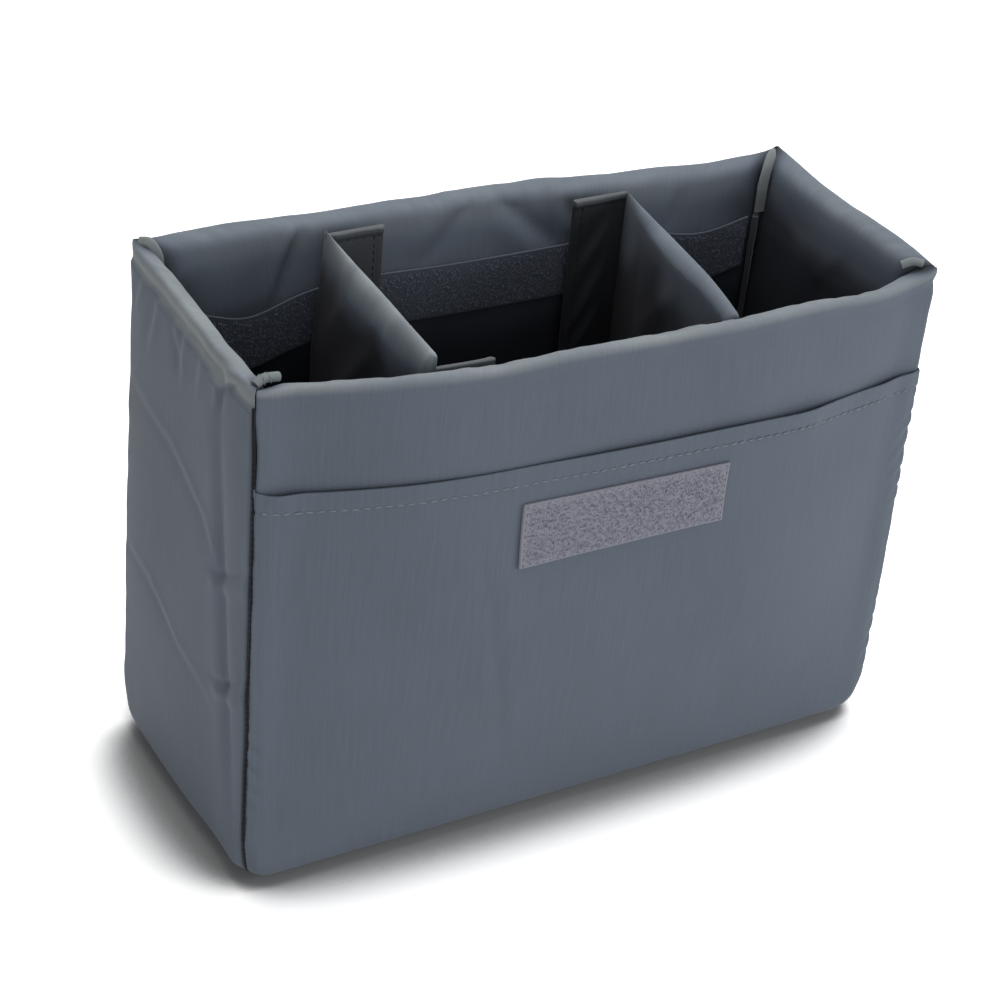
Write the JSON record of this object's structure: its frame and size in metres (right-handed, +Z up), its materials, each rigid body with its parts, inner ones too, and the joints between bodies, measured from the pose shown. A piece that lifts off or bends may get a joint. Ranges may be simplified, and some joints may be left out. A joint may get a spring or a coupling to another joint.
{
  "type": "camera bag insert",
  "caption": "Open-topped padded fabric box that drops into a bag, with lift-out padded dividers, a flat front pocket and a hook-and-loop patch.",
  "frame": {"origin": "centre of the underside of the base, where it rests on a surface", "axes": "+X to the right along the front, the longest side; +Y from the front to the back; +Z up"},
  "size_m": [0.28, 0.1352, 0.211],
  "materials": {
    "nylon_cloth": "slate grey plain-weave nylon, soft sheen",
    "foam_board": "closed-cell foam sheet, matt",
    "loop_tape": "brushed loop pile with woven edges",
    "hook_tape": "moulded hooks on a woven tape",
    "patch_tape": "lilac grey fastening tape with woven edges",
    "seam_binding": "folded nylon binding, stitched"
  },
  "bodies": {
    "shell": {"front_cover": "nylon_cloth", "back_cover": "nylon_cloth", "left_end_cover": "nylon_cloth", "right_end_cover": "nylon_cloth", "base_cover": "nylon_cloth", "floor_lining": "nylon_cloth", "front_foam_board": "foam_board", "back_foam_board": "foam_board", "left_end_foam_board": "foam_board", "right_end_foam_board": "foam_board", "base_foam_board": "foam_board", "front_pocket": "nylon_cloth", "front_fastening_patch": "patch_tape", "front_loop_strip": "loop_tape", "back_loop_strip": "loop_tape", "corner_binding_front_left": "seam_binding", "corner_binding_front_right": "seam_binding", "corner_binding_back_left": "seam_binding", "corner_binding_back_right": "seam_binding"},
    "left_divider": {"left_divider_cover": "nylon_cloth", "left_divider_foam_board": "foam_board"},
    "left_divider_front_flap": {"left_divider_front_flap": "nylon_cloth", "left_divider_front_hook_tape": "hook_tape"},
    "left_divider_back_flap": {"left_divider_back_flap": "nylon_cloth", "left_divider_back_hook_tape": "hook_tape"},
    "right_divider": {"right_divider_cover": "nylon_cloth", "right_divider_foam_board": "foam_board"},
    "right_divider_front_flap": {"right_divider_front_flap": "nylon_cloth", "right_divider_front_hook_tape": "hook_tape"},
    "right_divider_back_flap": {"right_divider_back_flap": "nylon_cloth", "right_divider_back_hook_tape": "hook_tape"}
  },
  "joints": [
    {"name": "left_divider_lift", "type": "slide", "parent": "shell", "child": "left_divider", "axis": [0, 0, 1], "range_m": [0, 0.21]},
    {"name": "left_divider_front_flap_fold", "type": "hinge", "parent": "left_divider", "child": "left_divider_front_flap", "pos_m": [-0.07006, -0.04109, 0.0133], "axis": [-0.0034, -0.0593, 0.9982], "range_deg": [0, 84]},
    {"name": "left_divider_back_flap_fold", "type": "hinge", "parent": "left_divider", "child": "left_divider_back_flap", "pos_m": [-0.06541, 0.0403, 0.0133], "axis": [0, 0, -1], "range_deg": [0, 91]},
    {"name": "right_divider_lift", "type": "slide", "parent": "shell", "child": "right_divider", "axis": [0, 0, 1], "range_m": [0, 0.21]},
    {"name": "right_divider_front_flap_fold", "type": "hinge", "parent": "right_divider", "child": "right_divider_front_flap", "pos_m": [0.04739, -0.04118, 0.0133], "axis": [0.0082, 0.0662, -0.9978], "range_deg": [0, 95]},
    {"name": "right_divider_back_flap_fold", "type": "hinge", "parent": "right_divider", "child": "right_divider_back_flap", "pos_m": [0.05751, 0.0403, 0.0133], "axis": [0, 0, 1], "range_deg": [0, 80]}
  ]
}
